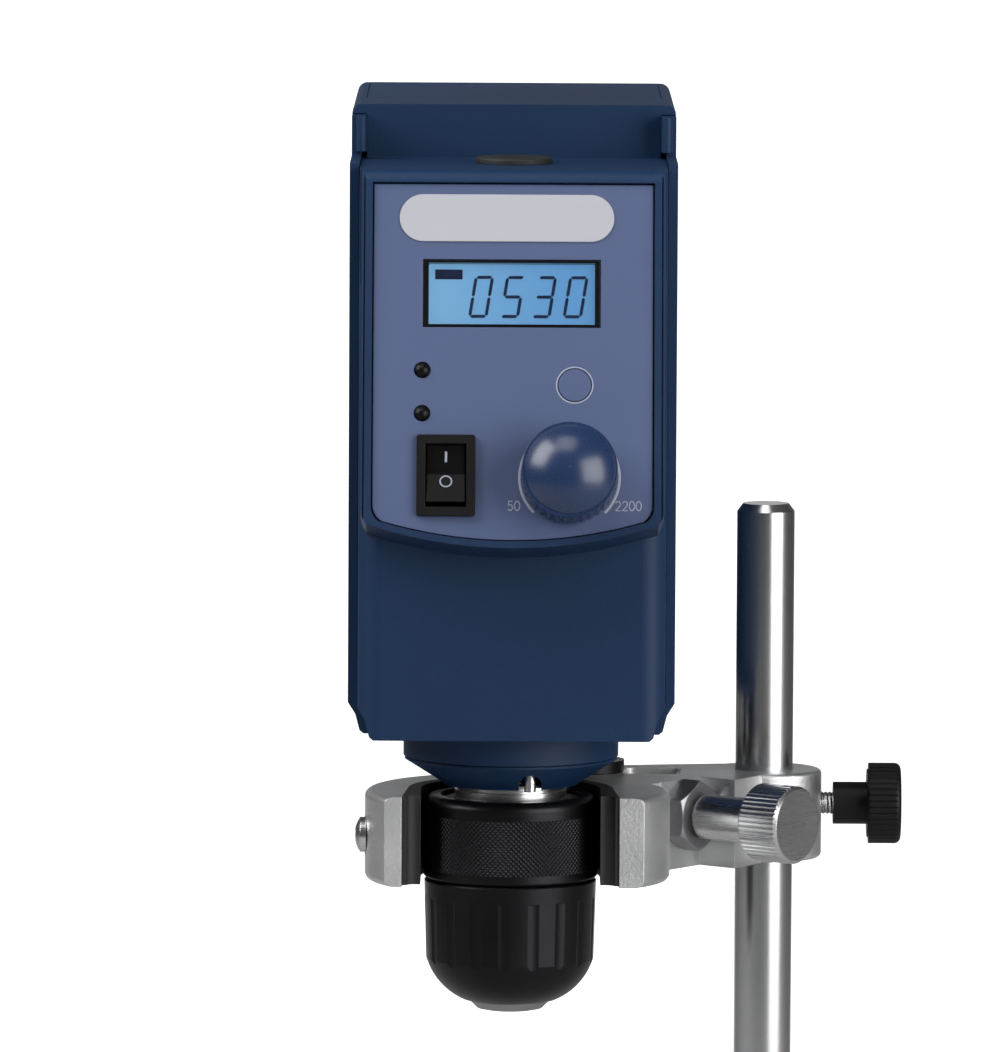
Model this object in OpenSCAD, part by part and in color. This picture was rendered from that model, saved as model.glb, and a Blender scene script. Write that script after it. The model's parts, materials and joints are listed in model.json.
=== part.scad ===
// Overhead stirrer: drive head with a keyless chuck, held by a cast clamp on a stand rod.
// Frame: origin on the spindle axis at the chuck's mouth, +Z up, -Y towards the operator.

/* [Housing] */
// Width of the rear housing over its side walls
housing_w = 83; // [74:1:100]
// Distance from the spindle axis back to the rear wall
housing_back = 126; // [118:1:150]
// Distance from the spindle axis forward to the lower front face
front_reach = 36; // [34:1:40]
// Height of the housing's underside above the chuck's mouth
housing_z = 73; // [72:0.5:90]
// Height of the housing from its underside to its top
housing_h = 157.8; // [150:1:186]
// Depth of the recess at the top of the front, from the top down to the ledge
recess_h = 13.8; // [10:0.2:18]
// Wall of the moulded shells
wall = 2.5; // [2:0.1:3]
// How far the rear housing stands out past the front cover on each side
side_step = 2.6; // [2.4:0.1:3.4]
// Radius of the front cover's upright edges
edge_r = 6; // [4:0.5:8]

/* [Control panel] */
// Backward tilt of the control panel
panel_tilt = 14; // [10:0.5:16]
// Width of the control panel plate
panel_w = 70.2; // [66:0.2:72]
// Height of the panel at its sides
panel_h = 85.1; // [83:0.1:87]
// How far the panel's lower edge bows down at its middle
panel_bow = 5.4; // [3:0.1:6]
// Width of the raised frame round the panel
bezel_w = 76.4; // [75:0.2:77]
// Width and height of the display's black frame
display_w = 44.3; // [40:0.1:50]
display_h = 16.9; // [14:0.1:19]
// Outside diameter of the speed knob's fluted skirt
knob_d = 24; // [20:0.1:25]
// How far the speed knob stands out from the panel
knob_h = 18; // [15:0.5:20]
// Number of flutes round the speed knob
knob_flutes = 34; // [20:1:36]
// Width and height of the power switch's frame
switch_w = 14.8; // [13:0.1:16]
switch_h = 20.6; // [19:0.1:22]
// Angle that the rocker tips either way
rocker_tip = 7; // [5:0.5:9]
// Travel of the mode button
mode_travel = 0.5; // [0.3:0.1:1]

/* [Neck and spindle] */
// Diameter of the neck collar below the housing
collar_d = 55; // [50:0.5:60]
// Diameter of the neck cone at its lower end
cone_d = 35.6; // [33:0.2:38]
// Outside diameter of the hollow spindle
spindle_d = 17; // [16:0.5:18]
// Bore of the spindle, which lets a long stirring shaft through
spindle_bore_d = 10.6; // [10.4:0.1:12]
// Diameter of the spindle's flange above the chuck
flange_d = 28.6; // [27:0.2:30]
// Effective diameter of the spindle pulley
spindle_pulley_d = 34; // [28:1:36]
// Effective diameter of the motor pulley
motor_pulley_d = 20; // [16:1:24]
// Distance from the spindle axis back to the motor axis
motor_y = 72; // [68:1:80]
// Diameter of the motor
motor_d = 52; // [44:1:60]

/* [Chuck] */
// Diameter of the rear sleeve, which is knurled
rear_sleeve_d = 44.4; // [42:0.2:46]
// Diameter of the front sleeve at its upper end
sleeve_d = 44; // [42:0.2:46]
// Diameter of the front sleeve at its knee
sleeve_knee_d = 42.8; // [40:0.2:43]
// Number of shallow flutes round the front sleeve
sleeve_flutes = 18; // [14:1:20]
// Diameter of the stirring shaft that the jaws hold at rest
grip_d = 8; // [7:0.1:9]
// Diameter of a jaw
jaw_d = 5; // [4.6:0.1:5.2]
// Angle of the jaws to the chuck's axis
jaw_angle = 17; // [15:0.5:18]
// Share of a full circle that one jaw's land covers, in degrees
land_arc = 42; // [40:1:48]

/* [Clamp] */
// Height of the clamp casting
clamp_h = 23; // [20:0.5:25]
// Height of the casting's underside above the chuck's mouth
clamp_z = 33.6; // [32:0.2:36]
// Radial gap between the yoke's rubber liner and the chuck
liner_gap = 0.7; // [0.5:0.1:1.2]
// Thickness of the liner at the back of the yoke
liner_t = 3.4; // [2.5:0.1:4]
// Wall of the yoke outside the liner
yoke_wall = 11; // [9:0.2:13]
// Diameter of the stand rod
rod_d = 15; // [12:0.5:16]
// Sideways distance from the spindle axis to the rod axis
rod_x = 66; // [64:0.5:70]
// Backward distance from the spindle axis to the rod axis
rod_y = 48; // [46:0.5:52]
// Height of the rod's top above the chuck's mouth
rod_top = 126; // [110:1:400]
// Length of the stand rod without its threaded foot
rod_len = 300; // [240:5:800]
// Diameter of the rod's threaded foot
foot_d = 10; // [8:1:10]
// Length of the threaded foot
foot_len = 16; // [12:1:25]
// Diameter of the boss that holds the rod
boss_d = 30; // [28:0.5:33]
// Diameter of the post that hangs the head on the casting
post_d = 12; // [10:0.5:13]
// Diameter of the black thumb knobs
thumb_d = 21; // [18:0.5:22]
// Diameter of the metal tension knob
tension_d = 20; // [17:0.5:21]
// Hex nut of the tension screw, across its flats
nut_af = 16; // [14:0.5:17]

/* [Hidden] */
$fn = 64;

run_gap = 0.05;     // radial clearance of a running fit
seat_gap = 0.2;     // gap between pieces that meet

// Housing levels and faces
top_z = housing_z + housing_h;
ledge_z = top_z - recess_h;
half_w = housing_w / 2;
cover_half = half_w - side_step;
recess_y = 20;                      // recess wall behind the shaft plug
rail_y = 50;                        // front end of the top cover and side rails
rail_w = 3.2;                       // width of a side rail on top
shell_front = -20;                  // front edge of the rear housing's side walls
ear_z = top_z - 12.2;               // underside of the ears beside the recess
base_t = 3;
skirt_in = 4;                       // how far the side walls draw in at the underside
cover_back = -6;                    // back edge of the front cover's lower side walls

// Control panel frame: origin at the panel's top edge, y up the slope, z outwards
panel_z = ledge_z - 1;
panel_y = -(front_reach - 7);
panel_inset = 0.8;                  // plate below the bezel's ridges
plate_t = 1.6;
plate_top = -2.6;                   // plate's top edge, down the slope
plate_side = plate_top - panel_h;   // plate's lower corners
bezel_gap = 0.4;
bezel_rise = 4;                     // bezel in front of the cover's own face
crease_z = panel_z - bezel_rise * sin(panel_tilt)
    - (front_reach + panel_y + bezel_rise * cos(panel_tilt)) / tan(panel_tilt);
bow_r = (pow(panel_w / 2, 2) + pow(panel_bow, 2)) / (2 * panel_bow);

// Places on the panel: [across, up the slope]
label_at = [-1.7, -11.2];
label_size = [54, 12];
display_at = [-0.4, -30.4];
lights_at = [[-22.8, -50], [-22.8, -61]];
light_d = 3.8;
mode_at = [15.5, -53.7];
mode_d = 8.8;
switch_at = [-16.7, -76.9];
rocker_size = [9.6, 15.4];
knob_at = [14.3, -77.2];
shaft_d = 6;                        // encoder shaft
board_t = 1.6;
board_depth = 10.4;                 // front of the control board behind the bezel plane
board_size = [62, 46];
board_at = [0, -44];

// Neck
collar_z = 65.6;
cone_z = 58.2;
slot_x = 4.9;                       // arched slot that shows the index pin
slot_w = 5.7;
slot_h = 4.6;

// Drive train
bearing_od = 35;
bearing_t = 10;
tube_d = 41;
frame_z = housing_z + base_t + 0.3; // drive frame stands on the base plate
frame_foot_t = 4;
upper_z = frame_z + 62;             // underside of the upper bearing
frame_top = upper_z + bearing_t;
pulley_z = frame_top + 6;
pulley_t = 12;
belt_w = 8;
belt_t = 2.4;
spindle_top = ledge_z - 8;
motor_h = 58;
motor_shaft_d = 8;

// Chuck levels
nose_h = 2.4;
nose_d1 = 13.6;
nose_d2 = 21;
knee_z = 12.3;
joint_z = 33.8;
rim_z = 55.4;
round_r = 16.7;                     // rounding of the front sleeve from its knee to the nose
round_rise = 5.7;
flute_top = 29.3;
flute_w = 4;
flute_depth = 0.45;
flute_r = (pow(flute_w / 2, 2) + pow(flute_depth, 2)) / (2 * flute_depth);
flute_lean = atan((sleeve_d - sleeve_knee_d) / 2 / (joint_z - knee_z));
nut_z = 22;                         // middle of the nut ring
nut_h = 8;
tip_z = 2;                          // jaw tips at rest, just inside the nose
jaw_len = 30;
jaw_mouth_r = 2.9;                  // where a jaw's centre line crosses the mouth plane
core_d = 31;                        // chuck body inside the sleeves
hub_d = 34.8;                       // chuck body inside the rear sleeve
hub_top = 51.2;
seat_top = 54.4;                    // ring of the chuck body round the spindle's flange
thread_gap = 0.15;                  // between the nut's cone and the backs of the jaws

// Clamp
clamp_top = clamp_z + clamp_h;
screw_z = clamp_z + clamp_h * 0.61; // height of the rod's and tension screws' axes
liner_r = rear_sleeve_d / 2 + liner_gap;
yoke_in = liner_r + liner_t;
yoke_r = yoke_in + yoke_wall;
post_x = 20.5;
post_y = 40;
post_low = clamp_z + 4;
post_block_r = post_d / 2 + 6;
mouth_y = -19;                      // front faces of the yoke's jaws
face_at = [44, 22];                 // middle of that face
nut_t = 6.5;
neck_len = 17;
tension_head_t = 12;
thumb_screw_d = 6;
thumb_hub_d = 11;
thumb_hub_t = 8.8;
thumb_head_t = 8.8;

// Rectangle centred on [x, y] with true round corners
module round_rect(size, r) {
    square([size[0] - 2 * r, size[1]], center = true);
    square([size[0], size[1] - 2 * r], center = true);
    for (x = [-1, 1], y = [-1, 1])
        translate([x * (size[0] / 2 - r), y * (size[1] / 2 - r)]) circle(r = r);
}

module on_panel(at = [0, 0], depth = 0) {
    translate([0, panel_y, panel_z]) rotate([90 - panel_tilt, 0, 0])
        translate([at[0], at[1], -depth]) children();
}

// Outline of the panel: straight sides, square top, lower edge bowed down
module panel_outline(w, top, side, corner) {
    intersection() {
        translate([-w / 2, side - panel_bow - 1]) square([w, top - side + panel_bow + 1]);
        translate([0, side - panel_bow + bow_r]) circle(r = bow_r, $fn = 180);
        union() {
            translate([-w / 2 + corner, side - panel_bow - 1])
                square([w - 2 * corner, top - side + panel_bow + 1]);
            translate([-w / 2, side + corner * 0.7]) square([w, top - side - corner * 0.7]);
            for (s = [-1, 1]) translate([s * (w / 2 - corner), side + corner * 0.7])
                circle(r = corner);
        }
    }
}

module ring(d_out, d_in, h) {
    difference() {
        cylinder(d = d_out, h = h);
        translate([0, 0, -1]) cylinder(d = d_in, h = h + 2);
    }
}

// Section across the housing, as seen from the front, drawn at x and z
module housing_section(half, low, high, r) {
    skirt = 8;
    polygon([
        [-half, low + skirt], [-half + 1.9, low + 5], [-half + 3, low + 0.8], [-half + skirt_in, low],
        [half - skirt_in, low], [half - 3, low + 0.8], [half - 1.9, low + 5], [half, low + skirt],
        [half, high - r], [half - r, high - r], [half - r, high],
        [-half + r, high], [-half + r, high - r], [-half, high - r]
    ]);
    for (s = [-1, 1]) translate([s * (half - r), high - r]) circle(r = r);
}

// Hollow with the housing's section, open at the bottom
module section_hollow(half, high, r) {
    housing_section(half, housing_z, high, r);
    translate([-half + skirt_in, housing_z - 1]) square([2 * (half - skirt_in), 1.5]);
}

module along_y(y0, y1) {
    translate([0, y1, 0]) rotate([90, 0, 0]) linear_extrude(y1 - y0) children();
}

module front_cover() {
    color("midnightblue") {
        difference() {
            union() {
                intersection() {
                    translate([0, -front_reach + 50, housing_z]) linear_extrude(ledge_z - housing_z)
                        round_rect([2 * cover_half, 100], edge_r);
                    along_y(-front_reach - 1, recess_y + wall)
                        housing_section(cover_half, housing_z, top_z, 2.4);
                    along_x(half_w) cover_profile();
                }
                // raised frame round the control panel
                intersection() {
                    on_panel([0, 0], 16) linear_extrude(16)
                        panel_outline(bezel_w, 5, plate_side - 2.2, 7);
                    along_x(cover_half) lip_profile();
                }
                // recess wall and the front part of the top
                translate([-cover_half + 1.2, recess_y, ledge_z - wall])
                    cube([2 * cover_half - 2.4, wall, recess_h]);
                intersection() {
                    translate([-half_w, recess_y, top_z - wall]) cube([housing_w, rail_y - recess_y, wall]);
                    along_y(recess_y, rail_y) housing_section(half_w, housing_z, top_z, 2.4);
                }
            }
            cover_hollow();
            panel_cuts();
            // groove between the frame's two ridges
            for (s = [-1, 1]) on_panel([s * (bezel_w / 2 - 0.7), -44], 0.5)
                translate([-0.2, -44, 0]) cube([0.4, 92, 2]);
        }
    }
}

module along_x(half) {
    translate([-half, 0, 0]) rotate([90, 0, 90]) linear_extrude(2 * half) children();
}

// Side view of the front cover, at y and z: upright below, then sloping back to the ledge
module cover_profile() {
    slope_top = panel_y + bezel_rise / cos(panel_tilt) + (ledge_z - panel_z) * tan(panel_tilt);
    low_front = front_reach + 5;
    polygon([
        [cover_back, housing_z - 1], [-low_front, housing_z - 1],
        [-low_front, ledge_z - (low_front + slope_top) / tan(panel_tilt)], [slope_top, ledge_z],
        [recess_y + wall, ledge_z], [recess_y + wall, ledge_z - 8], [cover_back, ledge_z - 30]
    ]);
}

// Side view of the space below the ledge, with the ledge's front edge rounded
module lip_profile() {
    lip_r = 4;
    difference() {
        translate([-70, housing_z + 2]) square([70 + recess_y + wall, ledge_z - housing_z - 2]);
        translate([panel_y - 0.6, ledge_z - lip_r]) difference() {
            translate([-20, 0]) square([20 + lip_r, lip_r + 1]);
            translate([lip_r, 0]) circle(r = lip_r);
        }
    }
}

// The space inside the front cover
module cover_hollow() {
    along_y(-front_reach + wall, 30) section_hollow(cover_half - wall, crease_z - 3, 1);
    on_panel([0, 0], 40) linear_extrude(33) panel_outline(bezel_w - 5, -3, plate_side + 2, 5);
    // under the ledge
    translate([-bezel_w / 2 + 2.9, panel_y + 9, ledge_z - wall - 20]) cube([bezel_w - 5.8, 40, 20]);
    translate([0, 0, ledge_z - wall - 1]) cylinder(d = plug_hole_d, h = wall + 2);
}
plug_hole_d = 12.6;                 // hole in the ledge that the shaft plug fills

// Pocket for the panel plate, and the holes behind it
module panel_cuts() {
    on_panel([0, 0], panel_inset + plate_t) linear_extrude(8)
        panel_outline(panel_w + 2 * bezel_gap, plate_top + bezel_gap, plate_side - bezel_gap, 5);
    panel_holes(seat_gap);
}

// Holes for the display, lights, button, switch and knob, grown by gap
module panel_holes(gap) {
    on_panel(display_at, 12) linear_extrude(14)
        square([display_w + 2 * gap, display_h + 2 * gap], center = true);
    for (p = lights_at) on_panel(p, 12) cylinder(d = light_d + 2 * gap, h = 14);
    on_panel(mode_at, 12) cylinder(d = mode_d - 0.6 + 2 * gap, h = 14);
    on_panel(switch_at, 12) linear_extrude(14)
        square([switch_w - 1.6 + 2 * gap, switch_h - 1.6 + 2 * gap], center = true);
    on_panel(knob_at, 12) cylinder(d = 7 + 2 * gap, h = 14);
}

module rear_housing() {
    color("midnightblue") difference() {
        intersection() {
            along_y(shell_front, housing_back) housing_section(half_w, housing_z, top_z, 2.4);
            translate([0, 0, housing_z - 1]) linear_extrude(housing_h + 2)
                translate([0, housing_back - 100]) round_rect([housing_w, 200], 5);
        }
        // inside, open at the front and the bottom
        along_y(shell_front - 1, housing_back - wall) section_hollow(cover_half + seat_gap, top_z - wall, 1);
        // opening for the top cover between the side rails
        translate([-half_w + rail_w, rail_y - 1, top_z - wall - 1])
            cube([housing_w - 2 * rail_w, housing_back - rail_y - 4, wall + 2]);
        // room for the front cover's recess and the front part of the top
        translate([-half_w - 1, shell_front - 1, ledge_z + 1]) cube([housing_w + 2, 34, recess_h]);
        translate([-half_w - 1, 0, top_z - wall - seat_gap])
            cube([housing_w + 2, rail_y + seat_gap, wall + 1]);
        inlet_cut();
        rear_vents();
        for (p = screw_places()) translate([p[0], housing_back - wall - 1, p[1]])
            rotate([-90, 0, 0]) cylinder(d = 3.4, h = wall + 2);
    }
    color("midnightblue") ears();
}

// Half-round columns beside the recess, standing inside the side walls
module ears() {
    for (s = [-1, 1]) translate([s * (half_w - 2.4), 0, ear_z + 0.4]) {
        translate([0, 13, 0]) cylinder(r = 1.4, h = top_z - wall - seat_gap - ear_z - 0.4);
        translate([-1.4, 13, 0]) cube([2.8, recess_y - 13 + 1, top_z - wall - seat_gap - ear_z - 0.4]);
    }
}

function screw_places() = [for (x = [-1, 1], z = [housing_z + 12, top_z - 12]) [x * (half_w - 9), z]];

inlet_size = [27, 20];
inlet_z = housing_z + 22;
module inlet_cut() {
    translate([-inlet_size[0] / 2 - seat_gap, housing_back - wall - 1, inlet_z - inlet_size[1] / 2 - seat_gap])
        cube([inlet_size[0] + 2 * seat_gap, wall + 2, inlet_size[1] + 2 * seat_gap]);
}

// Cooling slots in the rear wall
module rear_vents() {
    for (row = [0:9]) translate([0, housing_back - wall - 1, top_z - 36 - row * 6])
        rotate([-90, 0, 0]) linear_extrude(wall + 2) round_rect([44, 2.6], 1.29);
}

module top_cover() {
    color("midnightblue") intersection() {
        translate([-half_w + rail_w + seat_gap, rail_y + seat_gap, top_z - wall])
            cube([housing_w - 2 * (rail_w + seat_gap), housing_back - rail_y - 5 - 2 * seat_gap, wall]);
        along_y(0, housing_back) housing_section(half_w, housing_z, top_z, 2.4);
    }
}

base_rear = cover_half - skirt_in;
base_front = base_rear - wall - seat_gap;
module base_plate() {
    color("dimgray") difference() {
        translate([0, 0, housing_z + 0.3]) linear_extrude(base_t) {
            translate([-base_front, -front_reach + wall + seat_gap])
                square([2 * base_front, front_reach - wall + 10]);
            translate([-base_rear, cover_back + seat_gap])
                square([2 * base_rear, housing_back - wall - cover_back - 2 * seat_gap]);
        }
        translate([0, 0, housing_z - 1]) cylinder(d = 32, h = base_t + 2);
        translate([post_x, post_y, housing_z - 1]) cylinder(d = post_d + 2 * seat_gap, h = base_t + 2);
    }
}

module control_panel() {
    color("slateblue") difference() {
        on_panel([0, 0], panel_inset + plate_t) linear_extrude(plate_t)
            panel_outline(panel_w, plate_top, plate_side, 5);
        panel_holes(seat_gap);
    }
}

module label_plate() {
    color("silver") on_panel(label_at, panel_inset) linear_extrude(0.3)
        round_rect(label_size, label_size[1] / 2 - 0.01);
}

window_size = [41.8, 15.8];
module display_frame() {
    color("black") difference() {
        on_panel(display_at, 5) linear_extrude(5 - panel_inset + 0.1)
            square([display_w, display_h], center = true);
        on_panel(display_at, 6) linear_extrude(8) square(window_size, center = true);
    }
}

module display_window() {
    color("lightblue", 0.5) on_panel(display_at, 2.6) linear_extrude(1)
        square([window_size[0] - 0.1, window_size[1] - 0.1], center = true);
}

module display_module() {
    color("skyblue") {
        on_panel(display_at, 4.8) linear_extrude(2)
            square([window_size[0] - 0.4, window_size[1] - 0.4], center = true);
        on_panel(display_at, board_depth) linear_extrude(board_depth - 5.1)
            square([display_w - 1, display_h - 1], center = true);
    }
}

module status_lights() {
    color("black") for (p = lights_at) {
        on_panel(p, board_depth) cylinder(d = light_d, h = board_depth - panel_inset);
        intersection() {
            on_panel(p, panel_inset + 1) sphere(d = light_d + 0.4);
            on_panel(p, panel_inset + 0.5) cylinder(d = light_d, h = 3);
        }
    }
}

module mode_button() {
    color("slateblue") {
        on_panel(mode_at, panel_inset + 4) cylinder(d = mode_d - 0.6, h = 4.1);
        on_panel(mode_at, board_depth - mode_travel - 0.3)
            cylinder(d = 3, h = board_depth - mode_travel - panel_inset - 3);
    }
}

pivot_depth = 4.5;                  // rocker pivot below the bezel plane
pivot_d = 2.4;
switch_rise = 0.6;                  // switch frame in front of the bezel plane
rocker_gap = 0.35;
switch_depth = 13.4;

module switch_frame() {
    color("black") difference() {
        union() {
            on_panel(switch_at, panel_inset) linear_extrude(panel_inset + switch_rise)
                round_rect([switch_w, switch_h], 0.8);
            on_panel(switch_at, switch_depth) linear_extrude(switch_depth + 0.4 - panel_inset)
                square([switch_w - 1.6, switch_h - 1.6], center = true);
        }
        on_panel(switch_at, switch_depth - 2) linear_extrude(switch_depth + 1)
            square([rocker_size[0] + 2 * rocker_gap, rocker_size[1] + 2 * rocker_gap], center = true);
    }
    // pivot pin of the rocker
    color("black") on_panel(switch_at, pivot_depth) rotate([0, 90, 0])
        cylinder(d = pivot_d, h = rocker_size[0] + 2 * rocker_gap + 0.4, center = true);
}

// Side view of the rocker, at height up the slope and distance outwards, tipped by angle
module rocker_side(angle) {
    half = rocker_size[1] / 2;
    end = half * tan(rocker_tip);
    rotate(angle) {
        polygon([[-half + 1.6, -2.5], [half - 1.6, -2.5], [half - 0.25, end + pivot_depth - 0.8],
            [0, pivot_depth - 0.9], [-half + 0.25, end + pivot_depth - 0.8]]);
        circle(d = pivot_d + 3.2);
    }
}

// At rest the upper half is pressed in, which is the ON position
module switch_rocker() {
    color("black") difference() {
        on_panel(switch_at, pivot_depth) translate([-rocker_size[0] / 2, 0, 0])
            rotate([90, 0, 90]) linear_extrude(rocker_size[0]) rocker_side(-rocker_tip);
        on_panel(switch_at, pivot_depth) rotate([0, 90, 0])
            cylinder(d = pivot_d + 2 * run_gap, h = rocker_size[0] + 2, center = true);
    }
}

knob_base = 0.8;                    // underside of the knob in front of the bezel plane
band_h = knob_h - 5.6;              // top of the knob's fluted band
dome_edge = knob_d / 2 - 0.8;       // radius of the dome where it meets the band

module speed_knob() {
    step = 0.3;
    rise = knob_h - band_h - step;
    dome_r = (pow(dome_edge, 2) + pow(rise, 2)) / (2 * rise);
    color("steelblue") on_panel(knob_at, -knob_base) difference() {
        union() {
            cylinder(d = knob_d, h = band_h, $fn = 96);
            // shallow dome on a low step over the fluted band
            intersection() {
                translate([0, 0, knob_h - dome_r]) sphere(r = dome_r, $fn = 96);
                translate([0, 0, band_h - 1]) cylinder(r = dome_edge, h = rise + 3, $fn = 96);
            }
        }
        for (i = [0:knob_flutes - 1]) rotate([0, 0, (i + 0.5) * 360 / knob_flutes])
            translate([knob_d / 2 + 0.2, 0, -1]) cylinder(r = 0.75, h = band_h + 0.4, $fn = 24);
        translate([0, 0, -1]) cylinder(d = shaft_d + 2 * run_gap, h = knob_h - 4);
    }
}

module encoder() {
    color("dimgray") difference() {
        union() {
            on_panel(knob_at, 14) linear_extrude(14 - 7.6) square([12.4, 13], center = true);
            on_panel(knob_at, 7.7) cylinder(d = 7, h = 7.7 - 0.6);
        }
        on_panel(knob_at, 13.2) cylinder(d = shaft_d + 2 * run_gap, h = 20);
    }
}

push_travel = 0.5;
module encoder_shaft() {
    color("silver") on_panel(knob_at, 13.2 - push_travel - 0.2)
        cylinder(d = shaft_d, h = 13.2 - push_travel - 0.2 + knob_base + knob_h - 5.4);
}

plug_d = 19.6;
plug_t = 1.5;
module shaft_plug() {
    color("black") translate([0, 0, ledge_z + 0.05]) rotate_extrude($fn = 96) {
        difference() {
            union() {
                square([plug_d / 2 - 0.5, plug_t]);
                square([plug_d / 2, plug_t - 0.5]);
                translate([plug_d / 2 - 0.5, plug_t - 0.5]) circle(r = 0.5);
                translate([0, -6]) square([plug_hole_d / 2 - seat_gap, 6.5]);
            }
            translate([0, plug_t + 40 - 0.6]) circle(r = 40, $fn = 360);
            translate([-1, -7]) square([5.2, 6]);
        }
    }
}

module control_board() {
    color("darkgreen") difference() {
        on_panel(board_at, board_depth + board_t) linear_extrude(board_t)
            square(board_size, center = true);
    }
}

module power_board() {
    color("darkgreen") {
        translate([-30, housing_back - wall - 12, inlet_z + 18]) cube([60, board_t, 78]);
        // standoffs on the rear wall
        for (x = [-25, 25], z = [inlet_z + 23, inlet_z + 91])
            translate([x, housing_back - wall - 12 + board_t, z]) rotate([-90, 0, 0])
                cylinder(d = 6, h = 12 - board_t);
        translate([-22, housing_back - wall - 23, inlet_z + 30]) cube([26, 11, 30]);
    }
}

module inlet_socket() {
    color("black") difference() {
        union() {
            translate([-inlet_size[0] / 2, housing_back - 24, inlet_z - inlet_size[1] / 2])
                cube([inlet_size[0], 24, inlet_size[1]]);
            translate([-inlet_size[0] / 2 - 3, housing_back, inlet_z - inlet_size[1] / 2 - 3])
                cube([inlet_size[0] + 6, 2.2, inlet_size[1] + 6]);
        }
        translate([-11.75, housing_back - 17, inlet_z - 8]) cube([23.5, 22, 16]);
    }
    // the three contact blades
    color("silver") for (b = [[-7, 0], [0, 4], [7, 0]])
        translate([b[0] - 1, housing_back - 17.5, inlet_z + b[1] - 2.2]) cube([2, 14, 4.4]);
}

module cover_screws() {
    color("silver") for (p = screw_places())
        translate([p[0], housing_back + 0.05, p[1]]) rotate([-90, 0, 0]) difference() {
            union() {
                intersection() {
                    cylinder(d = 6, h = 2);
                    translate([0, 0, -3]) sphere(r = 5);
                }
                translate([0, 0, -10]) cylinder(d = 3, h = 10.5);
            }
            for (a = [0, 90]) rotate(a) translate([-1.6, -0.35, 1.1]) cube([3.2, 0.7, 2]);
        }
}

module neck_collar() {
    color("midnightblue") difference() {
        translate([0, 0, collar_z]) cylinder(d = collar_d, h = housing_z + 0.3 - collar_z);
        translate([0, 0, collar_z - 1]) cylinder(d = 32, h = 20);
        pin_hole();
    }
}

module neck_cone() {
    bore = flange_d + 1.6;
    color("midnightblue") difference() {
        translate([0, 0, cone_z]) rotate_extrude($fn = 96) polygon([
            [bore / 2, 0], [cone_d / 2 - 0.6, 0], [cone_d / 2, 0.6],
            [collar_d / 2 - 0.3, collar_z - cone_z - 0.9], [collar_d / 2 - 0.5, collar_z - cone_z - 0.3],
            [bore / 2, collar_z - cone_z - 0.3]
        ]);
        pin_hole();
        // arched slot open to the front
        translate([slot_x, 0, cone_z - 1]) rotate([90, 0, 0]) linear_extrude(40) {
            translate([-slot_w / 2, 0]) square([slot_w, slot_h - slot_w / 2 + 1]);
            translate([0, slot_h - slot_w / 2 + 1]) circle(d = slot_w);
        }
    }
    // rim that joins the cone to the collar
    color("midnightblue") difference() {
        translate([0, 0, collar_z - 0.3]) ring(collar_d - 2.4, 32, 0.3);
        pin_hole();
    }
}

pin_at = [slot_x, -17.8, cone_z - 0.2];
pin_len = 9;
module pin_hole() {
    translate([pin_at[0], pin_at[1], pin_at[2] - 1]) cylinder(d = 3.04, h = pin_len + 1.2);
}

module index_pin() {
    color("silver") translate(pin_at) cylinder(d = 3, h = pin_len);
}

module drive_frame() {
    color("lightgray") difference() {
        union() {
            translate([-32, -22, frame_z]) cube([64, motor_y + 50, frame_foot_t]);
            translate([0, 0, frame_z]) cylinder(d = tube_d, h = frame_top - frame_z);
            translate([-28, 0, frame_top - 5]) cube([56, motor_y + 28, 5]);
            for (s = [-1, 1]) translate([s * 30 - 2, motor_y - 18, frame_z])
                cube([4, 44, frame_top - frame_z]);
        }
        translate([0, 0, frame_z - 1]) cylinder(d = bearing_od + 0.04, h = bearing_t + 1);
        translate([0, 0, upper_z]) cylinder(d = bearing_od + 0.04, h = bearing_t + 1);
        translate([0, 0, frame_z - 1]) cylinder(d = 29, h = frame_top - frame_z + 2);
        translate([0, motor_y, frame_top - 6]) cylinder(d = 16, h = 7);
        translate([post_x, post_y, frame_z - 1]) cylinder(d = post_d + 2 * seat_gap, h = 7);
    }
}

module bearing(z) {
    translate([0, 0, z]) color("silver") difference() {
        cylinder(d = bearing_od, h = bearing_t);
        translate([0, 0, -1]) cylinder(d = spindle_d + 2 * run_gap, h = bearing_t + 2);
        // shields set back between the two rings
        for (z = [-1, bearing_t - 0.6]) translate([0, 0, z]) ring(bearing_od - 5, spindle_d + 6, 1.6);
    }
}
module upper_bearing() { bearing(upper_z); }
module lower_bearing() { bearing(frame_z); }

spindle_low = 36;
flange_low = 51.5;
flange_top = 59.4;
module spindle() {
    color("silver") rotate_extrude($fn = 96) difference() {
        union() {
            translate([0, spindle_low]) square([spindle_d / 2, spindle_top - spindle_low]);
            translate([0, flange_low]) square([flange_d / 2, flange_top - flange_low]);
        }
        translate([-1, spindle_low - 1]) square([spindle_bore_d / 2 + 1, spindle_top]);
        // groove round the flange
        translate([flange_d / 2 - 0.6, flange_top - 2.6]) square([1, 0.8]);
        translate([flange_d / 2 - 0.3, flange_top]) rotate(45) square(1, center = true);
    }
}

module pulley(z, d, bore) {
    translate([0, 0, z]) rotate_extrude($fn = 96) difference() {
        union() {
            square([d / 2 - belt_t / 2 - 0.05, pulley_t]);
            for (y = [0, pulley_t - 1.6]) translate([0, y]) square([d / 2 + 1.6, 1.6]);
        }
        translate([-1, -1]) square([bore / 2 + 1.02, pulley_t + 2]);
    }
}
module spindle_pulley() { color("gray") pulley(pulley_z, spindle_pulley_d, spindle_d); }
module motor_pulley() {
    color("gray") translate([0, motor_y, 0]) pulley(pulley_z, motor_pulley_d, motor_shaft_d);
    color("silver") translate([0, motor_y, frame_top - 5 - motor_h + 4])
        cylinder(d = motor_shaft_d, h = pulley_z + pulley_t + 2 - (frame_top - 5 - motor_h + 4));
}

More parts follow.
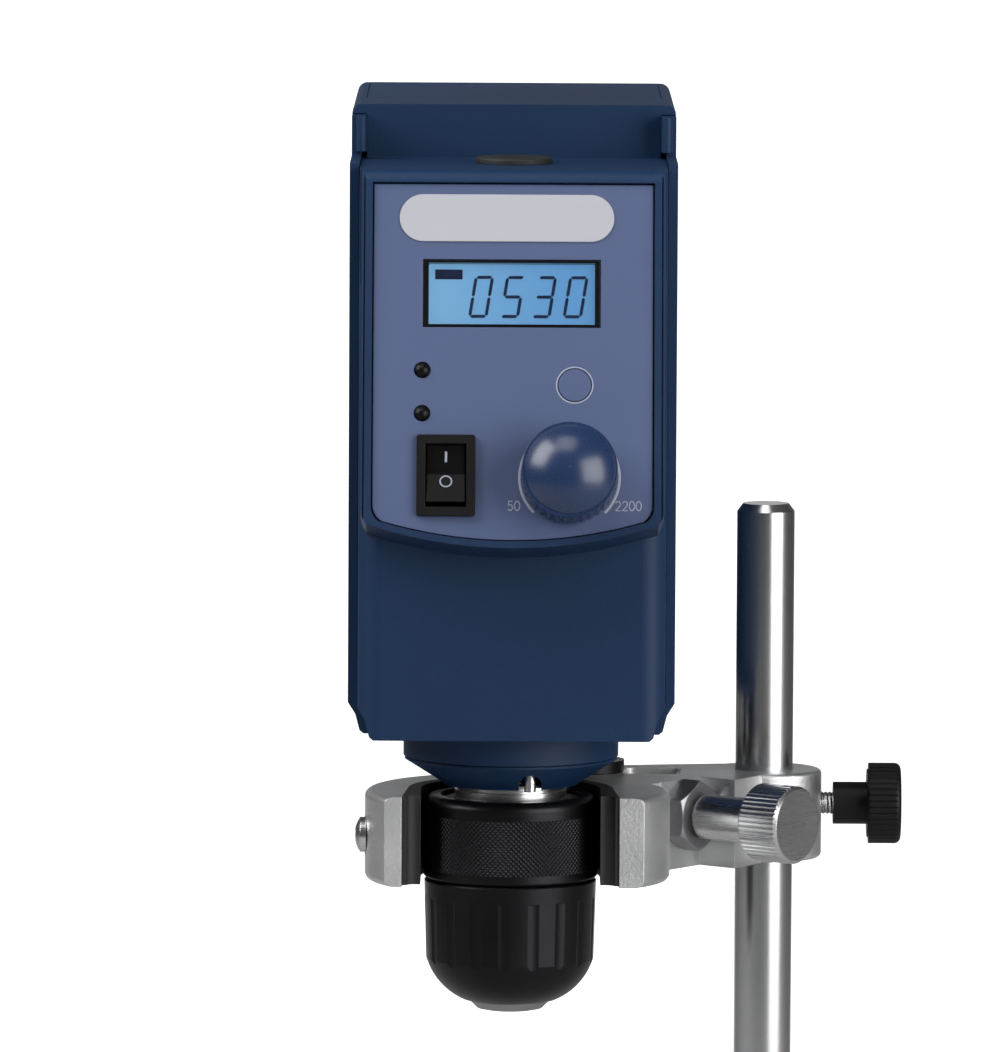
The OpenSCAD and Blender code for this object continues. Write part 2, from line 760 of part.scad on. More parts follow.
// Flat belt: two arcs on the pulleys joined by their common tangents
module drive_belt() {
    r1 = spindle_pulley_d / 2;
    r2 = motor_pulley_d / 2;
    color("black") translate([0, 0, pulley_z + (pulley_t - belt_w) / 2]) linear_extrude(belt_w)
        difference() {
            belt_outline(r1 + belt_t / 2, r2 + belt_t / 2);
            belt_outline(r1 - belt_t / 2, r2 - belt_t / 2);
        }
}
module belt_outline(ra, rb) {
    lean = asin((ra - rb) / motor_y);
    circle(r = ra, $fn = 180);
    translate([0, motor_y]) circle(r = rb, $fn = 180);
    polygon([
        [-ra * cos(lean), ra * sin(lean)], [-rb * cos(lean), motor_y + rb * sin(lean)],
        [rb * cos(lean), motor_y + rb * sin(lean)], [ra * cos(lean), ra * sin(lean)]
    ]);
}

module motor() {
    color("dimgray") translate([0, motor_y, frame_top - 5 - motor_h]) difference() {
        union() {
            cylinder(d = motor_d, h = motor_h - 2);
            cylinder(d = 22, h = motor_h);
        }
        translate([0, 0, 3]) cylinder(d = motor_shaft_d + 2 * run_gap, h = motor_h);
        for (z = [7, motor_h - 12]) translate([0, 0, z]) ring(motor_d + 2, motor_d - 1.2, 1.2);
    }
}

post_flange_z = clamp_top + 0.1;
module head_post() {
    color("silver") translate([post_x, post_y, 0]) {
        translate([0, 0, post_low]) cylinder(d = post_d, h = frame_z + frame_foot_t + 4 - post_low);
        translate([0, 0, post_flange_z]) cylinder(d = post_d + 6, h = 3);
        translate([0, 0, housing_z - 3.2]) cylinder(d = post_d + 6, h = 3.4);
        translate([0, 0, frame_z + frame_foot_t + 0.1]) cylinder(d = 17, h = 4.5, $fn = 6);
    }
}

// Chuck
function jaw_r(z) = jaw_mouth_r + z * tan(jaw_angle);
function jaw_back(z) = jaw_r(z) + jaw_d / 2 / cos(jaw_angle);

module chuck_body() {
    color("gray") difference() {
        rotate_extrude($fn = 96) difference() {
            polygon([
                [0, nose_h + 0.05], [8.9, nose_h + 0.05], [8.9, 5], [core_d / 2, knee_z + 1.2],
                [core_d / 2, nut_z - nut_h / 2 - 0.3],
                [nut_bore(nut_z - nut_h / 2) - 0.3, nut_z - nut_h / 2 - 0.3],
                [nut_bore(nut_z + nut_h / 2) - 0.3, nut_z + nut_h / 2 + 0.3],
                [core_d / 2, nut_z + nut_h / 2 + 0.3], [core_d / 2, joint_z + 0.4],
                [hub_d / 2, joint_z + 0.4], [hub_d / 2, seat_top], [flange_d / 2 + 0.4, seat_top],
                [flange_d / 2 + 0.4, hub_top], [0, hub_top]
            ]);
            translate([-1, spindle_low - 0.1]) square([spindle_d / 2 + 1.02, 30]);
        }
        translate([0, 0, -1]) cylinder(d = spindle_bore_d, h = 60);
        for (i = [0:2]) rotate(90 + i * 120) on_jaw() translate([0, 0, -6]) cylinder(d = jaw_d + 0.16, h = 50);
        // the jaws' lands sweep this space as they close
        translate([0, 0, -1]) cylinder(d1 = 10.4, d2 = 12.4, h = 10);
    }
}

function nut_bore(z) = jaw_back(z) + thread_gap;

// A jaw's own line: z runs up along the jaw from the mouth plane
module on_jaw() {
    translate([jaw_mouth_r, 0, 0]) rotate([0, jaw_angle, 0]) children();
}

module chuck_nut() {
    low = nut_z - nut_h / 2;
    high = nut_z + nut_h / 2;
    color("gray") rotate_extrude($fn = 96)
        polygon([[nut_bore(low), low], [sleeve_in / 2 - 0.02, low], [sleeve_in / 2 - 0.02, high],
            [nut_bore(high), high]]);
}
sleeve_in = 34;

module chuck_rear_sleeve() {
    r = rear_sleeve_d / 2;
    lip = 2.4;
    low = joint_z + 0.4;
    color("black") rotate_extrude($fn = 120) difference() {
        union() {
            polygon([[hub_d / 2 + 0.04, low], [r - 0.5, low], [r, low + 0.5], [r, rim_z - lip],
                [r - lip, rim_z - lip], [r - lip, rim_z], [hub_d / 2 + 0.04, rim_z]]);
            translate([r - lip, rim_z - lip]) circle(r = lip);
        }
        translate([0, seat_top - 0.2]) square([hub_d / 2 + 0.5, 20]);
    }
}

module chuck_front_sleeve() {
    r = sleeve_d / 2;
    k = sleeve_knee_d / 2;
    color("black") difference() {
        rotate_extrude($fn = 120) difference() {
            intersection() {
                polygon([
                    [0, nose_h + 0.3], [k, nose_h + 0.3], [k, knee_z], [r, joint_z - 0.4],
                    [r - 0.4, joint_z], [0, joint_z]
                ]);
                union() {
                    translate([k - round_r + 0.7, knee_z + round_rise]) circle(r = round_r, $fn = 180);
                    translate([0, knee_z + 2]) square([r + 1, joint_z]);
                }
            }
            polygon([
                [-1, 0], [9.3, 0], [9.3, 5.3], [core_d / 2 + 0.4, knee_z + 1.6],
                [core_d / 2 + 0.4, nut_z - nut_h / 2 - 0.05], [sleeve_in / 2, nut_z - nut_h / 2 - 0.05],
                [sleeve_in / 2, joint_z + 1], [-1, joint_z + 1]
            ]);
        }
        // shallow flutes that run out on the rounded end
        for (i = [0:sleeve_flutes - 1]) rotate(i * 360 / sleeve_flutes - 94)
            translate([k - flute_depth + flute_r, 0, knee_z - 6]) rotate([0, flute_lean, 0])
                cylinder(r = flute_r, h = flute_top - knee_z + 6);
    }
}

module chuck_nose_ring() {
    color("silver") rotate_extrude($fn = 96) polygon([
        [jaw_back(0) + 0.3, 0], [nose_d1 / 2, 0], [nose_d1 / 2 + 1.6, 0.35], [nose_d2 / 2, nose_h],
        [jaw_back(nose_h) + 0.3, nose_h]
    ]);
}

// One jaw: an inclined rod, wedge-shaped inside, with a land that fits the shaft
module jaw(turn) {
    grip_r = grip_d / 2;
    chord = grip_r * sin(land_arc / 2);
    apex = grip_r * cos(land_arc / 2) - chord / tan(60);
    color("silver") rotate(turn) difference() {
        on_jaw() translate([0, 0, tip_z / cos(jaw_angle)]) cylinder(d = jaw_d, h = jaw_len);
        translate([0, 0, tip_z - 20]) cylinder(r = 40, h = 20);
        translate([0, 0, -5]) cylinder(r = grip_r, h = 60);
        for (s = [-1, 1]) translate([apex, 0, -5]) rotate(s * 60) translate([-40, s > 0 ? 0 : -20, 0])
            cube([80, 20, 60]);
    }
}
module jaw_1() { jaw(90); }
module jaw_2() { jaw(210); }
module jaw_3() { jaw(330); }

// Clamp
post_aim = atan2(post_y - face_at[1], post_x - face_at[0]);
face_half = 8.4;
face_turn = post_aim + 180;         // direction that the slanted face looks in
post_reach = norm([post_x - face_at[0], post_y - face_at[1]]);
tension_screw_d = 8;
tension_neck_d = 11.6;
tension_play = 1.5;                 // neck's distance from the nut when tight
post_screw_z = clamp_top - 8;
thumb_play = 3;                     // hub's distance from the casting when tight
rod_gap = 0.08;
mouth_half = yoke_in + 1.9;
cast_edge = 1.8;                    // rounding of the yoke's outer edges
liner_screw_at = [-3, clamp_z + clamp_h / 2];
block_back = post_y + post_block_r;

// Inside of the yoke: round at the back, widening towards the operator
module yoke_hollow(grow) {
    circle(r = yoke_in + grow, $fn = 120);
    polygon([[-yoke_in - grow, 0], [-mouth_half - grow, mouth_y - 6], [mouth_half + grow, mouth_y - 6],
        [yoke_in + grow, 0]]);
}

// Round block with rounded upper and lower edges
module rounded_post(r, edge) {
    translate([0, 0, clamp_z]) rotate_extrude($fn = 120) union() {
        square([r - edge, clamp_h]);
        translate([0, edge]) square([r, clamp_h - 2 * edge]);
        for (z = [edge, clamp_h - edge]) translate([r - edge, z]) circle(r = edge, $fn = 48);
    }
}

module casting_plan() {
    face_a = [face_at[0] - face_half * cos(face_turn + 90), face_at[1] - face_half * sin(face_turn + 90)];
    face_b = [face_at[0] + face_half * cos(face_turn + 90), face_at[1] + face_half * sin(face_turn + 90)];
    // arm from the yoke to the rod boss
    polygon([[24, 0], face_a, face_b, [rod_x - boss_d * 0.27, rod_y - boss_d * 0.88],
        [rod_x - 1, rod_y - boss_d / 2], [rod_x, rod_y], [rod_x - 10, rod_y + 10],
        [40, block_back + 3.4], [post_x, block_back - 0.6], [8, 24]]);
}

module clamp_casting() {
    color("lightgray") difference() {
        union() {
            intersection() {
                union() {
                    rounded_post(yoke_r, cast_edge);
                    // the right jaw bulges out to the arm
                    translate([12.3, -0.5, 0]) rounded_post(yoke_r - 8.8, cast_edge);
                }
                translate([-60, mouth_y, clamp_z]) cube([120, 80, clamp_h]);
            }
            translate([0, 0, clamp_z]) linear_extrude(clamp_h) casting_plan();
            translate([post_x, post_y, 0]) rounded_post(post_block_r, 1);
            translate([rod_x, rod_y, 0]) rounded_post(boss_d / 2, 1.2);
        }
        translate([0, 0, clamp_z - 1]) linear_extrude(clamp_h + 2) yoke_hollow(0);
        // rod bore, post socket and pocket in the top of the arm
        translate([rod_x, rod_y, clamp_z - 1]) cylinder(d = rod_d + 2 * rod_gap, h = clamp_h + 2);
        translate([post_x, post_y, post_low - 0.6]) cylinder(d = post_d + 2 * rod_gap, h = clamp_h);
        translate([36.8, 40.5, clamp_top - 4.6]) rotate(-4) linear_extrude(6) round_rect([15, 13], 2.5);
        // screw holes
        translate([rod_x, rod_y, screw_z]) rotate([0, 90, 0])
            cylinder(d = thumb_screw_d + 2 * run_gap, h = boss_d);
        translate([post_x, post_y, post_screw_z]) rotate([-90, 0, 0])
            cylinder(d = thumb_screw_d + 2 * run_gap, h = 30);
        on_tension(-post_reach) cylinder(d = tension_screw_d + 2 * run_gap, h = post_reach + 2);
        translate([-yoke_r - 5, liner_screw_at[0], liner_screw_at[1]]) rotate([0, 90, 0])
            cylinder(d = 4.1, h = 20);
        // flat seat for the liner screw's head
        translate([-yoke_r - 4.6, liner_screw_at[0], liner_screw_at[1]]) rotate([0, 90, 0])
            cylinder(d = 10, h = 5);
    }
}

// Tension screw's axis: z outwards from the slanted face
module on_tension(s) {
    translate([face_at[0], face_at[1], screw_z]) rotate([0, 90, face_turn]) translate([0, 0, s])
        children();
}

module clamp_liner() {
    color("black") difference() {
        translate([0, 0, clamp_z + 0.4]) linear_extrude(clamp_h - 0.2) difference() {
            intersection() {
                yoke_hollow(-0.05);
                translate([-60, mouth_y + 0.6]) square([120, 80]);
            }
            circle(r = liner_r, $fn = 120);
            translate([-liner_r, mouth_y - 6]) square([2 * liner_r, -mouth_y + 6]);
            // lead-in at the mouth
            for (s = [-1, 1]) translate([s * (liner_r + 1.2), mouth_y]) circle(r = 2.6);
        }
        translate([-yoke_r, liner_screw_at[0], liner_screw_at[1]]) rotate([0, 90, 0])
            cylinder(d = 4.1, h = yoke_wall + 2);
    }
}

module liner_screw() {
    color("silver") translate([-yoke_r + 0.4, liner_screw_at[0], liner_screw_at[1]]) rotate([0, -90, 0])
        difference() {
            union() {
                intersection() {
                    cylinder(d = 9, h = 3.2);
                    translate([0, 0, -4.6]) sphere(r = 7.6);
                }
                translate([0, 0, -yoke_wall]) cylinder(d = 4, h = yoke_wall + 0.5);
            }
            translate([0, 0, 1.4]) cylinder(d = 4, h = 3, $fn = 6);
        }
}

module tension_nut() {
    color("silver") on_tension(0.05) difference() {
        intersection() {
            cylinder(d = nut_af / cos(30), h = nut_t, $fn = 6);
            // chamfered corners
            translate([0, 0, nut_t / 2]) rotate_extrude() polygon([[0, -nut_t / 2],
                [nut_af / 2, -nut_t / 2], [nut_af / 2 + 1.3, -nut_t / 2 + 0.75],
                [nut_af / 2 + 1.3, nut_t / 2 - 0.75], [nut_af / 2, nut_t / 2], [0, nut_t / 2]]);
        }
        translate([0, 0, -1]) cylinder(d = tension_screw_d + 2 * run_gap, h = nut_t + 2);
    }
}

tension_neck_z = nut_t + tension_play;
module tension_screw() {
    color("silver") {
        on_tension(-post_reach + post_d / 2 + 0.15)
            cylinder(d = tension_screw_d, h = post_reach - post_d / 2 - 0.15 + tension_neck_z + neck_len + 6);
        on_tension(tension_neck_z) cylinder(d = tension_neck_d, h = neck_len);
    }
}

module tension_knob() {
    ridges = 48;
    color("silver") on_tension(tension_neck_z + neck_len + 0.1) difference() {
        rotate_extrude($fn = 96) polygon([[0, 0], [tension_d / 2 - 0.6, 0], [tension_d / 2, 0.6],
            [tension_d / 2, tension_head_t - 0.8], [tension_d / 2 - 0.8, tension_head_t],
            [0, tension_head_t]]);
        translate([0, 0, -1]) cylinder(d = tension_screw_d + 2 * run_gap, h = 7.4);
        for (i = [0:ridges - 1]) rotate(i * 360 / ridges) translate([tension_d / 2 + 0.15, 0, -1])
            cylinder(d = 0.9, h = tension_head_t + 2, $fn = 4);
    }
}

// Thumb screw along z from the clamped surface: screw and moulded knob
module thumb_stud(reach) {
    color("silver") cylinder(d = thumb_screw_d, h = reach + thumb_play + 12);
}
module thumb_grip(reach) {
    ribs = 40;
    color("black") translate([0, 0, reach + thumb_play]) difference() {
        rotate_extrude($fn = 96) union() {
            square([thumb_hub_d / 2, thumb_hub_t + 1]);
            translate([0, thumb_hub_t]) square([thumb_d / 2 - 1.6, thumb_head_t]);
            translate([0, thumb_hub_t + 0.4]) square([thumb_d / 2, thumb_head_t - 2]);
            translate([thumb_d / 2 - 1.6, thumb_hub_t + thumb_head_t - 1.6]) circle(r = 1.6);
        }
        translate([0, 0, -1]) cylinder(d = thumb_screw_d + 2 * run_gap, h = 13.4);
        for (i = [0:ribs - 1]) rotate(i * 360 / ribs) translate([thumb_d / 2 + 0.2, 0, 0])
            cylinder(d = 1, h = thumb_hub_t + thumb_head_t - 1, $fn = 4);
    }
}

module on_rod_screw() {
    translate([rod_x + rod_d / 2 + 0.1, rod_y, screw_z]) rotate([0, 90, 0]) children();
}
rod_screw_reach = (boss_d - rod_d) / 2 - 0.1;
module rod_screw() { on_rod_screw() thumb_stud(rod_screw_reach); }
module rod_knob() { on_rod_screw() thumb_grip(rod_screw_reach); }

module on_post_screw() {
    translate([post_x, post_y + post_d / 2 + 0.1, post_screw_z]) rotate([-90, 0, 0]) children();
}
post_screw_reach = post_block_r - post_d / 2 + 1.5;
module post_screw() { on_post_screw() thumb_stud(post_screw_reach); }
module post_knob() { on_post_screw() thumb_grip(post_screw_reach); }

module stand_rod() {
    r = rod_d / 2;
    foot = foot_d / 2;
    low = rod_top - rod_len;
    color("silver") translate([rod_x, rod_y, 0]) rotate_extrude($fn = 96) polygon([
        [0, low - foot_len], [foot - 0.8, low - foot_len], [foot, low - foot_len + 0.8],
        [foot, low], [r - 1, low], [r, low + 1],
        [r, rod_top - 2], [r - 1.5, rod_top], [0, rod_top]
    ]);
}

front_cover();
rear_housing();
top_cover();
base_plate();
control_panel();
label_plate();
display_frame();
display_window();
display_module();
status_lights();
mode_button();
switch_frame();
switch_rocker();
speed_knob();
encoder();
encoder_shaft();
shaft_plug();
control_board();
power_board();
inlet_socket();
cover_screws();
neck_collar();
neck_cone();
index_pin();
drive_frame();
upper_bearing();
lower_bearing();
spindle();
spindle_pulley();
drive_belt();
motor();
motor_pulley();
head_post();
chuck_body();
chuck_rear_sleeve();
chuck_front_sleeve();
chuck_nut();
chuck_nose_ring();
jaw_1();
jaw_2();
jaw_3();
clamp_casting();
clamp_liner();
liner_screw();
tension_nut();
tension_screw();
tension_knob();
rod_screw();
rod_knob();
post_screw();
post_knob();
stand_rod();
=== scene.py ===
import bpy, bmesh, json, math
from mathutils import Matrix, Vector

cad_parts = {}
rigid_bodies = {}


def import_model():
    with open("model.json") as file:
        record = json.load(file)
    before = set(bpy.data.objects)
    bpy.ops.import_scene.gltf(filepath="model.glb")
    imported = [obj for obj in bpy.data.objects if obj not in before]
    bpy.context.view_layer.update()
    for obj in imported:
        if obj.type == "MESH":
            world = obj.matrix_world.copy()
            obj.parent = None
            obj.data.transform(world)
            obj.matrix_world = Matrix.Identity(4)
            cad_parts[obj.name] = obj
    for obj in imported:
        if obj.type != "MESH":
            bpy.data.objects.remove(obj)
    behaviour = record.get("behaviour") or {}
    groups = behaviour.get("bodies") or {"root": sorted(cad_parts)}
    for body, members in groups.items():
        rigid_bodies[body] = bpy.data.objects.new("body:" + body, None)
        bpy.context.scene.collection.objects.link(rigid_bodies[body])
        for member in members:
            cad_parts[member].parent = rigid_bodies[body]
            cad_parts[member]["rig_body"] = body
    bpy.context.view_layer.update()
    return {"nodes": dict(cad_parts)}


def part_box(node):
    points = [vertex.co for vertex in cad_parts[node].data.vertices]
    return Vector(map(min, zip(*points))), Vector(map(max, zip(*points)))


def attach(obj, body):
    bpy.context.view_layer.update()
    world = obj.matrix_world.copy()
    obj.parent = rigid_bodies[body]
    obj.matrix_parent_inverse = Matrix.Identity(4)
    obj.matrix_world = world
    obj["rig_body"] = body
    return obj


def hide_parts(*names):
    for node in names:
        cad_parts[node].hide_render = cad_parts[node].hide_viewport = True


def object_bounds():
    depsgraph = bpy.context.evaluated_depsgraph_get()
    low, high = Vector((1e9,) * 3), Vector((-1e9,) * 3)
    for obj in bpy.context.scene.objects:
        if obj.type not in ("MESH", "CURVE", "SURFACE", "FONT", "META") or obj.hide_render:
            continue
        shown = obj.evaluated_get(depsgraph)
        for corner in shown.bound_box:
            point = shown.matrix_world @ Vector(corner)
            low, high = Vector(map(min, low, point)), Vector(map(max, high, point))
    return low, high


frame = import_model()
nodes = frame["nodes"]
scene = bpy.context.scene


def mm(*values):
    return Vector([v / 1000 for v in values])


def rgb(hexText):
    out = []
    for i in (0, 2, 4):
        c = int(hexText[i:i + 2], 16) / 255
        out.append(c / 12.92 if c <= 0.04045 else ((c + 0.055) / 1.055) ** 2.4)
    return (*out, 1)


# one shader node with its constants and links
def addNode(tree, kind, values=None, **props):
    made = tree.nodes.new(kind)
    for key, value in props.items():
        setattr(made, key, value)
    for key, value in (values or {}).items():
        if isinstance(value, bpy.types.NodeSocket):
            tree.links.new(value, made.inputs[key])
        else:
            made.inputs[key].default_value = value
    return made


def newMaterial(name):
    mat = bpy.data.materials.new(name)
    mat.use_nodes = True
    tree = mat.node_tree
    tree.nodes.clear()
    return mat, tree


def finishMaterial(tree, shader):
    out = addNode(tree, "ShaderNodeOutputMaterial")
    tree.links.new(shader, out.inputs["Surface"])


# how far the two shades of a finish reach into one another, and edge radii in millimetres
shades = {"darkTo": 0.3, "lightFrom": 0.7, "detail": 4.0}
edges = {"moulded": 0.3, "machined": 0.25, "samples": 4}


# colour that varies softly between two shades over the piece
def twoShades(tree, where, look):
    drift = addNode(tree, "ShaderNodeTexNoise", {
        "Vector": where, "Scale": look["driftScale"], "Detail": shades["detail"]})
    ramp = addNode(tree, "ShaderNodeValToRGB", {"Fac": drift.outputs["Fac"]})
    ramp.color_ramp.elements[0].position = shades["darkTo"]
    ramp.color_ramp.elements[0].color = rgb(look["dark"])
    ramp.color_ramp.elements[1].position = shades["lightFrom"]
    ramp.color_ramp.elements[1].color = rgb(look["light"])
    return ramp.outputs["Color"]


# normal with edges rounded to a small radius, so that they catch the light
def softEdges(tree, radius):
    rounded = addNode(tree, "ShaderNodeBevel", {"Radius": radius / 1000}, samples=edges["samples"])
    return rounded.outputs["Normal"]


def roughnessFrom(tree, factor, low, high):
    spread = addNode(tree, "ShaderNodeMapRange", {"Value": factor, "To Min": low, "To Max": high})
    return spread.outputs["Result"]


# grained or smooth moulding: fine bumps, a little unevenness in the gloss
def moulded(name, look):
    mat, tree = newMaterial(name)
    where = addNode(tree, "ShaderNodeTexCoord").outputs["Object"]
    colour = twoShades(tree, where, look)
    grain = addNode(tree, "ShaderNodeTexNoise", {"Vector": where, "Scale": look["grainScale"], "Detail": 3.0})
    bump = addNode(tree, "ShaderNodeBump", {
        "Height": grain.outputs["Fac"], "Strength": look["grain"], "Distance": look["grainDepth"],
        "Normal": softEdges(tree, edges["moulded"])})
    body = addNode(tree, "ShaderNodeBsdfPrincipled", {
        "Base Color": colour, "IOR": look["ior"],
        "Roughness": roughnessFrom(tree, grain.outputs["Fac"], *look["roughness"]),
        "Specular IOR Level": look.get("sheen", 0.5), "Normal": bump.outputs["Normal"]})
    finishMaterial(tree, body.outputs["BSDF"])
    return mat


# metal with tool marks stretched along or round one axis
def machined(name, look):
    mat, tree = newMaterial(name)
    where = addNode(tree, "ShaderNodeTexCoord").outputs["Object"]
    colour = twoShades(tree, where, look)
    stretch = addNode(tree, "ShaderNodeMapping", {"Vector": where, "Scale": look["marks"]})
    marks = addNode(tree, "ShaderNodeTexNoise", {
        "Vector": stretch.outputs["Vector"], "Scale": 1.0, "Detail": 5.0, "Roughness": 0.65})
    bump = addNode(tree, "ShaderNodeBump", {
        "Height": marks.outputs["Fac"], "Strength": look["grain"], "Distance": look["grainDepth"],
        "Normal": softEdges(tree, edges["machined"])})
    body = addNode(tree, "ShaderNodeBsdfPrincipled", {
        "Base Color": colour, "Metallic": look["metallic"],
        "Roughness": roughnessFrom(tree, marks.outputs["Fac"], *look["roughness"]),
        "Normal": bump.outputs["Normal"]})
    finishMaterial(tree, body.outputs["BSDF"])
    return mat


materials = {
    "housing": moulded("grained_navy_moulding", {
        "dark": "08223f", "light": "0b2a4b", "driftScale": 9.0, "grainScale": 2600.0, "grain": 0.35,
        "grainDepth": 0.00012, "roughness": (0.5, 0.62), "ior": 1.5, "sheen": 0.25}),
    "panel": moulded("grained_slate_blue_plate", {
        "dark": "3f4c6e", "light": "445173", "driftScale": 12.0, "grainScale": 3000.0, "grain": 0.3,
        "grainDepth": 0.0001, "roughness": (0.45, 0.58), "ior": 1.5}),
    "label": moulded("satin_silver_plate", {
        "dark": "a1a2a9", "light": "a7a8af", "driftScale": 20.0, "grainScale": 4200.0, "grain": 0.12,
        "grainDepth": 0.00005, "roughness": (0.3, 0.4), "ior": 1.5}),
    "black": moulded("satin_black_moulding", {
        "dark": "060607", "light": "0a0a0c", "driftScale": 30.0, "grainScale": 3500.0, "grain": 0.15,
        "grainDepth": 0.00005, "roughness": (0.3, 0.42), "ior": 1.5, "sheen": 0.15}),
    "blackMatt": moulded("matt_black_moulding", {
        "dark": "0a0a0b", "light": "0e0e10", "driftScale": 30.0, "grainScale": 2600.0, "grain": 0.3,
        "grainDepth": 0.0001, "roughness": (0.42, 0.55), "ior": 1.5, "sheen": 0.2}),
    "knob": moulded("smooth_blue_moulding", {
        "dark": "182a4a", "light": "1b2e50", "driftScale": 25.0, "grainScale": 3000.0, "grain": 0.1,
        "grainDepth": 0.00004, "roughness": (0.24, 0.32), "ior": 1.5}),
    "rubber": moulded("black_moulded_rubber", {
        "dark": "0b0b0c", "light": "101012", "driftScale": 30.0, "grainScale": 1800.0, "grain": 0.3,
        "grainDepth": 0.00015, "roughness": (0.6, 0.75), "ior": 1.52}),
    "board": moulded("green_solder_mask", {
        "dark": "0e3b22", "light": "12482a", "driftScale": 40.0, "grainScale": 2500.0, "grain": 0.2,
        "grainDepth": 0.00008, "roughness": (0.3, 0.45), "ior": 1.55}),
    "figures": moulded("dark_liquid_crystal_figures", {
        "dark": "101f4a", "light": "14244f", "driftScale": 60.0, "grainScale": 3000.0, "grain": 0.05,
        "grainDepth": 0.00002, "roughness": (0.4, 0.5), "ior": 1.5}),
    "print": moulded("pale_grey_printing_ink", {
        "dark": "8e94a4", "light": "989eae", "driftScale": 60.0, "grainScale": 3000.0, "grain": 0.1,
        "grainDepth": 0.00002, "roughness": (0.5, 0.6), "ior": 1.48}),
    "steel": machined("turned_steel", {
        "dark": "b9b9ba", "light": "c9c9c9", "driftScale": 60.0, "marks": (60.0, 60.0, 4200.0),
        "grain": 0.25, "grainDepth": 0.00004, "roughness": (0.2, 0.36), "metallic": 1.0}),
    "satin": machined("satin_steel", {
        "dark": "8f8f91", "light": "9b9b9d", "driftScale": 60.0, "marks": (400.0, 400.0, 2200.0),
        "grain": 0.3, "grainDepth": 0.00006, "roughness": (0.4, 0.54), "metallic": 1.0}),
    "rod": machined("ground_stainless_bar", {
        "dark": "b2b3b4", "light": "c3c3c3", "driftScale": 25.0, "marks": (3800.0, 3800.0, 30.0),
        "grain": 0.12, "grainDepth": 0.00003, "roughness": (0.2, 0.3), "metallic": 1.0}),
    "cast": machined("shot_blasted_aluminium_casting", {
        "dark": "c4c5c6", "light": "d6d6d6", "driftScale": 60.0, "marks": (900.0, 900.0, 900.0),
        "grain": 0.6, "grainDepth": 0.00022, "roughness": (0.34, 0.52), "metallic": 1.0}),
    "turned": machined("turned_aluminium", {
        "dark": "bcbdbf", "light": "cccccd", "driftScale": 50.0, "marks": (3000.0, 3000.0, 60.0),
        "grain": 0.2, "grainDepth": 0.00005, "roughness": (0.25, 0.38), "metallic": 1.0}),
    "chuck": machined("black_oxide_steel", {
        "dark": "18181a", "light": "202022", "driftScale": 50.0, "marks": (90.0, 90.0, 3600.0),
        "grain": 0.2, "grainDepth": 0.00004, "roughness": (0.3, 0.42), "metallic": 0.85}),
    "paint": moulded("grey_painted_steel", {
        "dark": "46484c", "light": "4d5054", "driftScale": 30.0, "grainScale": 1500.0, "grain": 0.25,
        "grainDepth": 0.0001, "roughness": (0.4, 0.52), "ior": 1.5}),
}


def clearWindow(name, look):
    mat, tree = newMaterial(name)
    where = addNode(tree, "ShaderNodeTexCoord").outputs["Object"]
    haze = addNode(tree, "ShaderNodeTexNoise", {"Vector": where, "Scale": look["hazeScale"], "Detail": 3.0})
    body = addNode(tree, "ShaderNodeBsdfPrincipled", {
        "Base Color": rgb(look["tint"]), "IOR": look["ior"], "Transmission Weight": 1.0,
        "Roughness": roughnessFrom(tree, haze.outputs["Fac"], *look["roughness"])})
    finishMaterial(tree, body.outputs["BSDF"])
    return mat


# back-lit sheet, brighter to the left where its lamp sits
def litSheet(name, look):
    mat, tree = newMaterial(name)
    where = addNode(tree, "ShaderNodeTexCoord").outputs["Object"]
    split = addNode(tree, "ShaderNodeSeparateXYZ", {"Vector": where})
    across = addNode(tree, "ShaderNodeMapRange", {
        "Value": split.outputs["X"], "From Min": look["from"] / 1000, "From Max": look["to"] / 1000})
    haze = addNode(tree, "ShaderNodeTexNoise", {"Vector": where, "Scale": look["hazeScale"], "Detail": 2.0})
    ramp = addNode(tree, "ShaderNodeValToRGB", {"Fac": across.outputs["Result"]})
    ramp.color_ramp.elements[0].color = rgb(look["bright"])
    ramp.color_ramp.elements[1].color = rgb(look["dim"])
    body = addNode(tree, "ShaderNodeBsdfPrincipled", {
        "Base Color": ramp.outputs["Color"], "IOR": look["ior"], "Emission Color": ramp.outputs["Color"],
        "Emission Strength": look["glow"],
        "Roughness": roughnessFrom(tree, haze.outputs["Fac"], *look["roughness"])})
    finishMaterial(tree, body.outputs["BSDF"])
    return mat


materials["lit"] = litSheet("back_lit_display_sheet", {
    "from": -20, "to": 12, "bright": "6f96ad", "dim": "5884a6", "glow": 1.15, "hazeScale": 2500.0,
    "roughness": (0.25, 0.35), "ior": 1.5})
materials["window"] = clearWindow("clear_acrylic_window", {
    "tint": "dfeaf6", "hazeScale": 700.0, "roughness": (0.02, 0.06), "ior": 1.49})
print("stage: materials")

finishes = {
    "housing": "front_cover rear_housing top_cover neck_collar neck_cone",
    "panel": "control_panel mode_button",
    "label": "label_plate",
    "black": "display_frame switch_rocker status_lights",
    "blackMatt": "switch_frame inlet_socket rod_knob post_knob",
    "knob": "speed_knob",
    "rubber": "shaft_plug drive_belt clamp_liner",
    "board": "control_board power_board",
    "lit": "display_module",
    "window": "display_window",
    "steel": "encoder_shaft cover_screws index_pin upper_bearing lower_bearing spindle tension_knob "
             "chuck_nut jaw_1 jaw_2 jaw_3 liner_screw tension_screw rod_screw post_screw",
    "satin": "chuck_body chuck_nose_ring tension_nut",
    "rod": "stand_rod",
    "cast": "clamp_casting drive_frame",
    "turned": "spindle_pulley motor_pulley",
    "chuck": "chuck_rear_sleeve chuck_front_sleeve head_post",
    "paint": "base_plate encoder motor",
}
for finish, names in finishes.items():
    for name in names.split():
        nodes[name].data.materials.clear()
        nodes[name].data.materials.append(materials[finish])
        for face in nodes[name].data.polygons:
            face.material_index = 0
